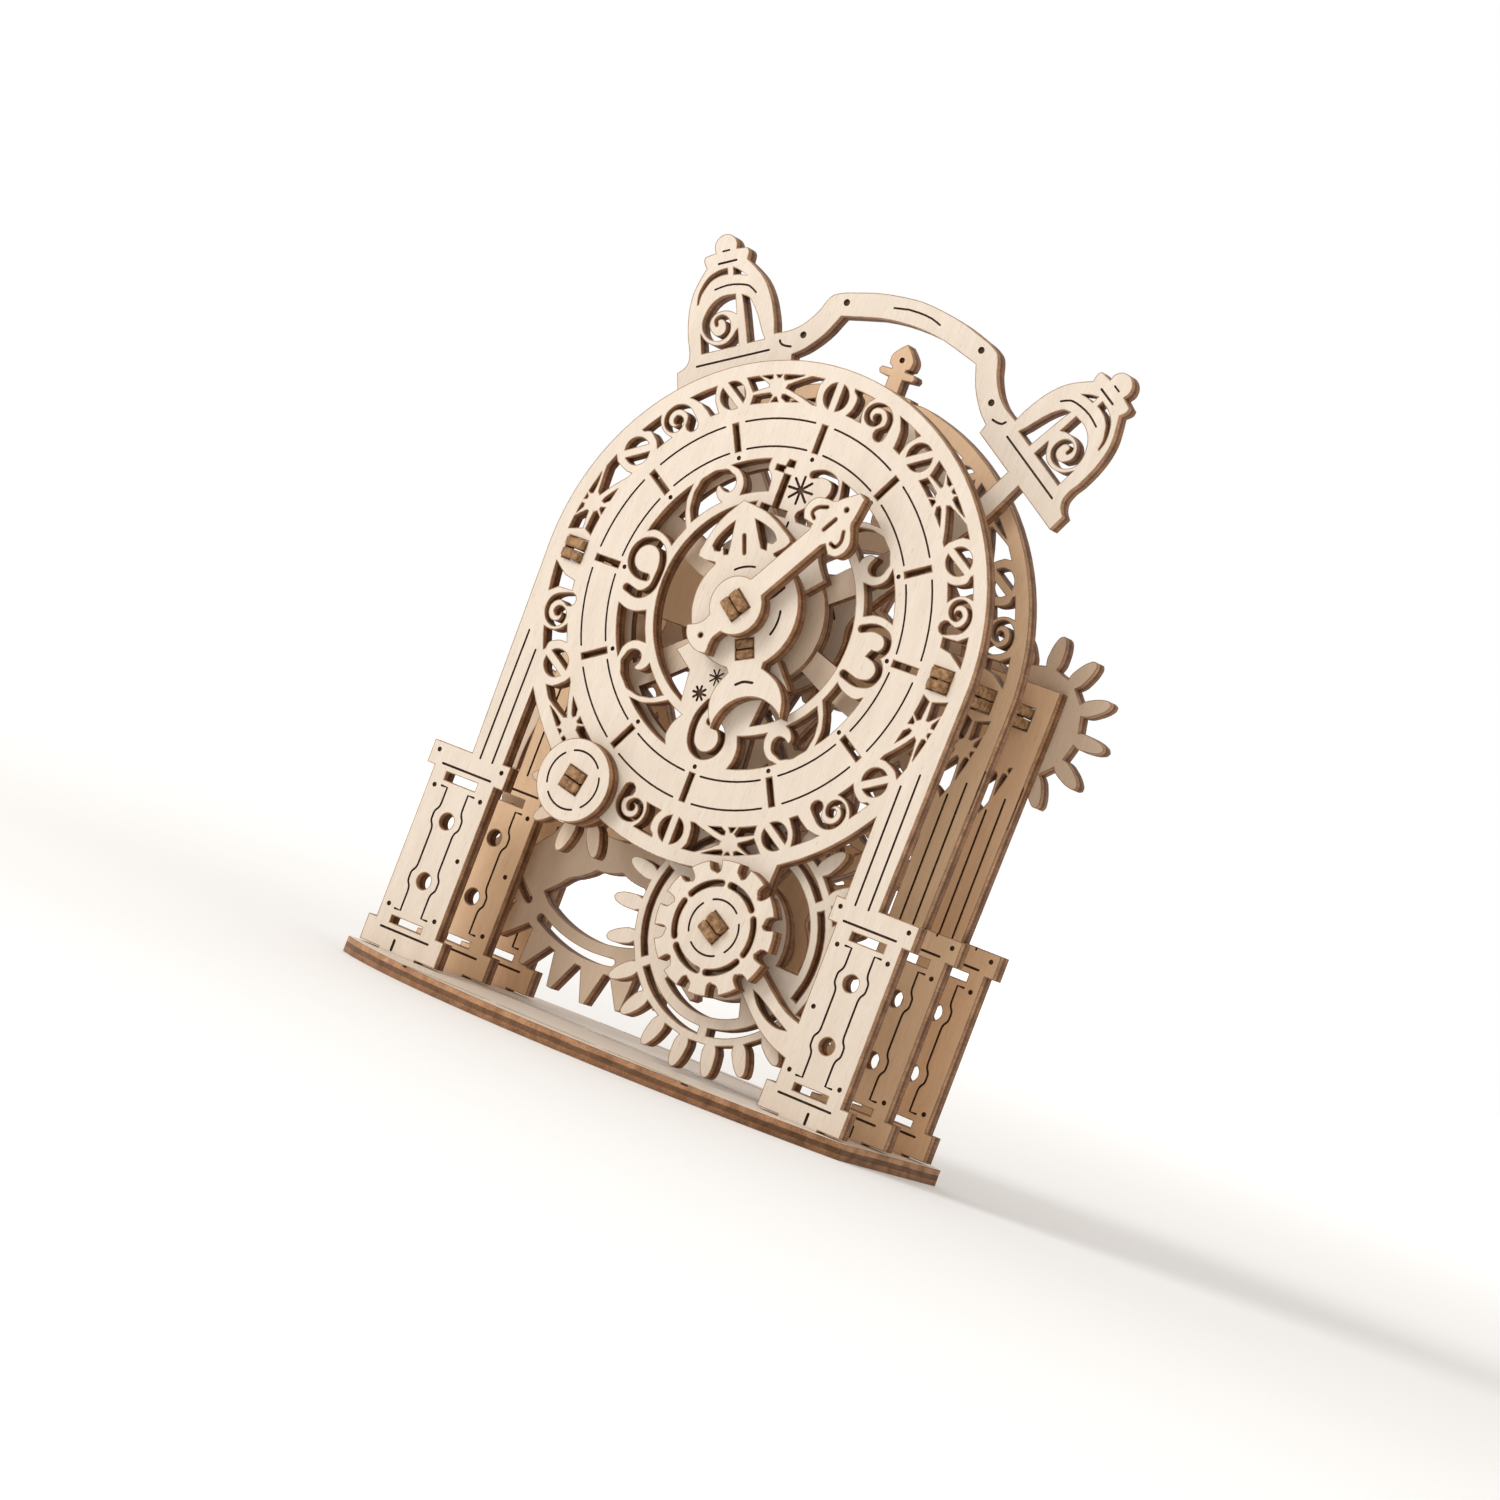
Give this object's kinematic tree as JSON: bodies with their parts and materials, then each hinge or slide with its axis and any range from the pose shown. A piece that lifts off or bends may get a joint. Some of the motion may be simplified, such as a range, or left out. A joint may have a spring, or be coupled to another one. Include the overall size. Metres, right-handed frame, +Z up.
{
  "type": "wooden 3d jigsaw model",
  "caption": "Laser-cut plywood puzzle kit built up as a bell-topped alarm clock, with an open dial, two hands and a train of meshing wheels between standing plates.",
  "frame": {"origin": "centre of the base plate's underside", "axes": "+Z up, the dial faces -Y, +X to the right of someone who faces the dial"},
  "size_m": [0.1011, 0.0702, 0.1295],
  "materials": {
    "base_plate": "bare laser-cut plywood, matte, with burnt cut edges",
    "front_plate": "bare laser-cut plywood, matte, with burnt cut edges",
    "middle_plate": "bare laser-cut plywood, matte, with burnt cut edges",
    "rear_plate": "bare laser-cut plywood, matte, with burnt cut edges",
    "left_side_pin_upper": "bare laser-cut plywood, matte, with burnt cut edges",
    "left_side_pin_lower": "bare laser-cut plywood, matte, with burnt cut edges",
    "right_side_pin_upper": "bare laser-cut plywood, matte, with burnt cut edges",
    "right_side_pin_lower": "bare laser-cut plywood, matte, with burnt cut edges",
    "rocker_stop_pin": "bare laser-cut plywood, matte, with burnt cut edges",
    "bell_and_handle_plate": "bare laser-cut plywood, matte, with burnt cut edges",
    "minute_hand": "bare laser-cut plywood, matte, with burnt cut edges",
    "minute_axle_upper": "bare laser-cut plywood, matte, with burnt cut edges",
    "minute_axle_lower": "bare laser-cut plywood, matte, with burnt cut edges",
    "minute_front_collar": "bare laser-cut plywood, matte, with burnt cut edges",
    "minute_middle_collar": "bare laser-cut plywood, matte, with burnt cut edges",
    "minute_rear_collar": "bare laser-cut plywood, matte, with burnt cut edges",
    "minute_pinion": "bare laser-cut plywood, matte, with burnt cut edges",
    "minute_wheel": "bare laser-cut plywood, matte, with burnt cut edges",
    "hour_hand": "bare laser-cut plywood, matte, with burnt cut edges",
    "hour_wheel": "bare laser-cut plywood, matte, with burnt cut edges",
    "hour_pin_upper": "bare laser-cut plywood, matte, with burnt cut edges",
    "hour_pin_lower": "bare laser-cut plywood, matte, with burnt cut edges",
    "ratchet_wheel": "bare laser-cut plywood, matte, with burnt cut edges",
    "drive_wheel": "bare laser-cut plywood, matte, with burnt cut edges",
    "drive_collar": "bare laser-cut plywood, matte, with burnt cut edges",
    "drive_axle_upper": "bare laser-cut plywood, matte, with burnt cut edges",
    "drive_axle_lower": "bare laser-cut plywood, matte, with burnt cut edges",
    "knob_disc": "bare laser-cut plywood, matte, with burnt cut edges",
    "knob_pinion": "bare laser-cut plywood, matte, with burnt cut edges",
    "centre_wheel": "bare laser-cut plywood, matte, with burnt cut edges",
    "knob_axle_upper": "bare laser-cut plywood, matte, with burnt cut edges",
    "knob_axle_lower": "bare laser-cut plywood, matte, with burnt cut edges",
    "crank_gear": "bare laser-cut plywood, matte, with burnt cut edges"
  },
  "bodies": {
    "frame": {"base_plate": "base_plate", "front_plate": "front_plate", "middle_plate": "middle_plate", "rear_plate": "rear_plate", "left_side_pin_upper": "left_side_pin_upper", "left_side_pin_lower": "left_side_pin_lower", "right_side_pin_upper": "right_side_pin_upper", "right_side_pin_lower": "right_side_pin_lower", "rocker_stop_pin": "rocker_stop_pin"},
    "rocker": {"bell_and_handle_plate": "bell_and_handle_plate"},
    "minute": {"minute_hand": "minute_hand", "minute_axle_upper": "minute_axle_upper", "minute_axle_lower": "minute_axle_lower", "minute_front_collar": "minute_front_collar", "minute_middle_collar": "minute_middle_collar", "minute_rear_collar": "minute_rear_collar", "minute_pinion": "minute_pinion", "minute_wheel": "minute_wheel"},
    "hour": {"hour_hand": "hour_hand", "hour_wheel": "hour_wheel", "hour_pin_upper": "hour_pin_upper", "hour_pin_lower": "hour_pin_lower"},
    "drive": {"ratchet_wheel": "ratchet_wheel", "drive_wheel": "drive_wheel", "drive_collar": "drive_collar", "drive_axle_upper": "drive_axle_upper", "drive_axle_lower": "drive_axle_lower"},
    "knob": {"knob_disc": "knob_disc", "knob_pinion": "knob_pinion", "centre_wheel": "centre_wheel", "knob_axle_upper": "knob_axle_upper", "knob_axle_lower": "knob_axle_lower"},
    "crank": {"crank_gear": "crank_gear"}
  },
  "joints": [
    {"name": "minute_turn", "type": "hinge", "parent": "frame", "child": "minute", "pos_m": [0, -0.01961, 0.073], "axis": [0, 1, 0], "continuous": true},
    {"name": "hour_turn", "type": "hinge", "parent": "frame", "child": "hour", "pos_m": [0, -0.01097, 0.073], "axis": [0, 1, 0], "continuous": true},
    {"name": "knob_turn", "type": "hinge", "parent": "frame", "child": "knob", "pos_m": [-0.0183, -0.01673, 0.03878], "axis": [0, 1, 0], "continuous": true},
    {"name": "drive_turn", "type": "hinge", "parent": "frame", "child": "drive", "pos_m": [0.01538, -0.01097, 0.02553], "axis": [0, 1, 0], "continuous": true},
    {"name": "crank_turn", "type": "hinge", "parent": "frame", "child": "crank", "pos_m": [0.03549, 0.01673, 0.073], "axis": [0, 1, 0], "continuous": true},
    {"name": "bell_rock", "type": "hinge", "parent": "frame", "child": "rocker", "pos_m": [0, -0.00233, 0.073], "axis": [0, 1, 0], "range_deg": [-3.3, 0]}
  ],
  "couplings": [
    {"joint": "hour_turn", "follows": "minute_turn", "ratio": 0.083333},
    {"joint": "knob_turn", "follows": "minute_turn", "ratio": -0.26667},
    {"joint": "drive_turn", "follows": "minute_turn", "ratio": -0.12121},
    {"joint": "crank_turn", "follows": "minute_turn", "ratio": -2}
  ]
}
